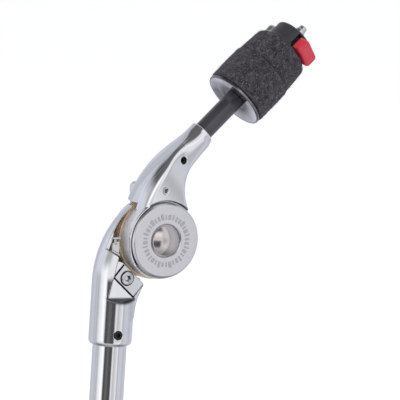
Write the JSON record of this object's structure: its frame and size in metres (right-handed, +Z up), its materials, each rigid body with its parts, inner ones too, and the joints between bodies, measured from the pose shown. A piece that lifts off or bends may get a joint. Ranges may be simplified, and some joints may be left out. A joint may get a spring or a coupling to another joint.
{
  "type": "cymbal boom arm with friction tilter",
  "caption": "Chromed boom tube with a friction-clutch tilter, wing nut, cymbal rod, sleeve, felts and a push-button quick-release nut.",
  "frame": {"origin": "centre of the boom tube's lower end", "axes": "+Z up along the boom tube, pivot axis along Y, cymbal rod leaning towards +X, round pivot cap facing -Y"},
  "size_m": [0.1277, 0.048, 0.3841],
  "materials": {
    "chrome_tube": "polished chrome plate",
    "chrome_cast": "polished chrome plate on a die casting",
    "chrome_small": "polished chrome plate",
    "dark_chrome": "dark polished chrome",
    "satin_cap": "satin plated",
    "black_plastic": "satin moulded",
    "black_steel": "black oxide",
    "brass": "plain",
    "spring_steel": "plain",
    "bush_plastic": "moulded nylon",
    "rod_steel": "plated",
    "sleeve_plastic": "satin gloss",
    "felt_cloth": "pressed wool felt",
    "red_plastic": "satin gloss"
  },
  "bodies": {
    "boom": {"boom_tube": "chrome_tube", "tube_end_plug": "black_plastic", "tilter_base": "chrome_cast", "base_set_screw": "black_steel", "keeper_block": "chrome_small", "keeper_screw": "chrome_small", "keeper_clip": "spring_steel", "brass_clutch_plates": "brass", "pivot_bush": "bush_plastic"},
    "arm": {"tilter_arm": "chrome_cast", "arm_set_screw": "black_steel", "arm_roll_pin": "spring_steel", "steel_clutch_plates": "spring_steel", "pivot_cap": "satin_cap", "pivot_bolt": "dark_chrome", "cymbal_rod": "rod_steel", "cymbal_sleeve": "sleeve_plastic", "seat_washer": "chrome_small", "lower_felt": "felt_cloth"},
    "washer": {"thrust_washer": "chrome_small"},
    "wing": {"wing_nut": "chrome_cast"},
    "top_felt": {"upper_felt": "felt_cloth"},
    "flange": {"nut_flange": "black_plastic"},
    "nut": {"nut_shell": "black_plastic", "nut_thread_insert": "brass", "nut_top_ring": "black_plastic", "button_spring": "spring_steel"},
    "button": {"release_button": "red_plastic", "lock_slide": "chrome_small"}
  },
  "joints": [
    {"name": "tilt", "type": "hinge", "parent": "boom", "child": "arm", "pos_m": [0.0245, 0, 0.2595], "axis": [0, 1, 0], "range_deg": [0, 70]},
    {"name": "wing_back_off", "type": "slide", "parent": "arm", "child": "washer", "axis": [0, 1, 0], "range_m": [0, 0.00252]},
    {"name": "wing_turn", "type": "hinge", "parent": "washer", "child": "wing", "pos_m": [0.0245, 0, 0.2595], "axis": [0, 1, 0], "range_deg": [0, 720]},
    {"name": "nut_lift", "type": "slide", "parent": "arm", "child": "flange", "axis": [0.7193, 0, 0.6947], "range_m": [0, 0.03]},
    {"name": "felt_lift", "type": "slide", "parent": "arm", "child": "top_felt", "axis": [0.7193, 0, 0.6947], "range_m": [0, 0.0151]},
    {"name": "nut_turn", "type": "hinge", "parent": "flange", "child": "nut", "pos_m": [0.101, 0, 0.36743], "axis": [0.7193, 0, 0.6947], "continuous": true},
    {"name": "release_press", "type": "slide", "parent": "nut", "child": "button", "axis": [-0.2714, 0.9205, 0.2811], "range_m": [0, 0.003], "stiffness_N_per_m": 250, "springref_m": -0.003, "deforming": ["button_spring"]}
  ],
  "couplings": [
    {"joint": "wing_back_off", "follows": "wing_turn", "m_per_rad": 0.00019894},
    {"joint": "felt_lift", "follows": "nut_lift", "ratio": 0.5}
  ]
}
